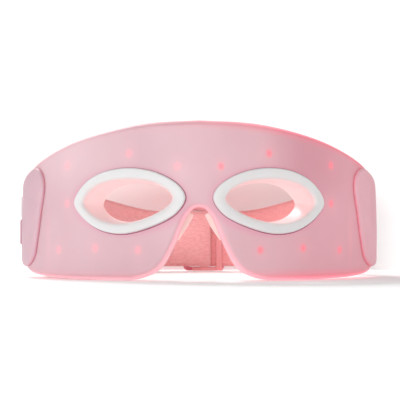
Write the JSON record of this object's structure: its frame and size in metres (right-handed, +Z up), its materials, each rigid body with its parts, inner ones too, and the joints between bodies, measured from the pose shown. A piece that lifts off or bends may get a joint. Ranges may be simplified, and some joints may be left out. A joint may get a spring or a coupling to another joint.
{
  "type": "eye massager mask",
  "caption": "Cordless wrap-round light-therapy eye mask: translucent visor with nose notch, white eye rings, temple pods, a power button, a covered charging socket and a strap with a slider.",
  "frame": {"origin": "on the floor under the middle of the mask's bounding box; the mask stands on the two cheek lobes and the strap slider", "axes": "+X to the image's right (the wearer's left), -Y the way the wearer looks, +Z up when worn"},
  "size_m": [0.1912, 0.1676, 0.0774],
  "materials": {
    "shell_pink": "translucent, satin",
    "cover_pink": "satin",
    "button_pink": "satin",
    "liner_peach": "satin",
    "cushion_peach": "matt silicone",
    "silicone_white": "matt silicone",
    "velour": "soft pile",
    "steel": "bright",
    "led_lens": "clear",
    "board_green": "solder mask",
    "polyimide": "amber film",
    "chip_black": "moulded",
    "battery_foil": "foil pouch",
    "connector_white": "moulded",
    "wire_red": "smooth",
    "wire_black": "smooth"
  },
  "bodies": {
    "mask": {"front_shell": "shell_pink", "inner_liner": "liner_peach", "brow_pad": "cushion_peach", "bridge_ribbon": "polyimide", "battery": "battery_foil", "battery_connector": "connector_white", "battery_lead_red": "wire_red", "battery_lead_black": "wire_black", "control_board": "board_green", "processor_chip": "chip_black", "charger_chip": "chip_black", "tact_switch": "steel", "usb_socket": "steel", "strap_band": "velour", "strap_return": "velour", "eye_ring_left": "silicone_white", "eye_cushion_left": "cushion_peach", "nose_pad_left": "cushion_peach", "temple_cover_left": "cover_pink", "led_board_left": "polyimide", "strap_pin_left": "steel", "eye_ring_right": "silicone_white", "eye_cushion_right": "cushion_peach", "nose_pad_right": "cushion_peach", "temple_cover_right": "cover_pink", "led_board_right": "polyimide", "strap_pin_right": "steel", "led_left_1": "led_lens", "led_left_2": "led_lens", "led_left_3": "led_lens", "led_left_4": "led_lens", "led_left_5": "led_lens", "led_left_6": "led_lens", "led_left_7": "led_lens", "led_right_1": "led_lens", "led_right_2": "led_lens", "led_right_3": "led_lens", "led_right_4": "led_lens", "led_right_5": "led_lens", "led_right_6": "led_lens", "led_right_7": "led_lens", "screw_left_lower": "steel", "screw_left_upper": "steel", "screw_right_lower": "steel", "screw_right_upper": "steel"},
    "button": {"power_button": "button_pink"},
    "port_flap": {"port_cover": "silicone_white"},
    "slider": {"strap_slider": "cover_pink", "strap_loop": "velour"}
  },
  "joints": [
    {"name": "button_press", "type": "slide", "parent": "mask", "child": "button", "axis": [0.9838, 0.1793, 0], "range_m": [0, 0.0006], "stiffness_N_per_m": 2500, "springref_m": -0.0002},
    {"name": "port_cover_open", "type": "hinge", "parent": "mask", "child": "port_flap", "pos_m": [-0.09447, -0.02049, 0.0421], "axis": [-0.1793, 0.9838, 0], "range_deg": [0, 100]},
    {"name": "slider_travel", "type": "hinge", "parent": "mask", "child": "slider", "pos_m": [0, -0.006, 0.0198], "axis": [0, 0, 1], "range_deg": [-9, 9], "deforming": ["strap_return"]}
  ]
}
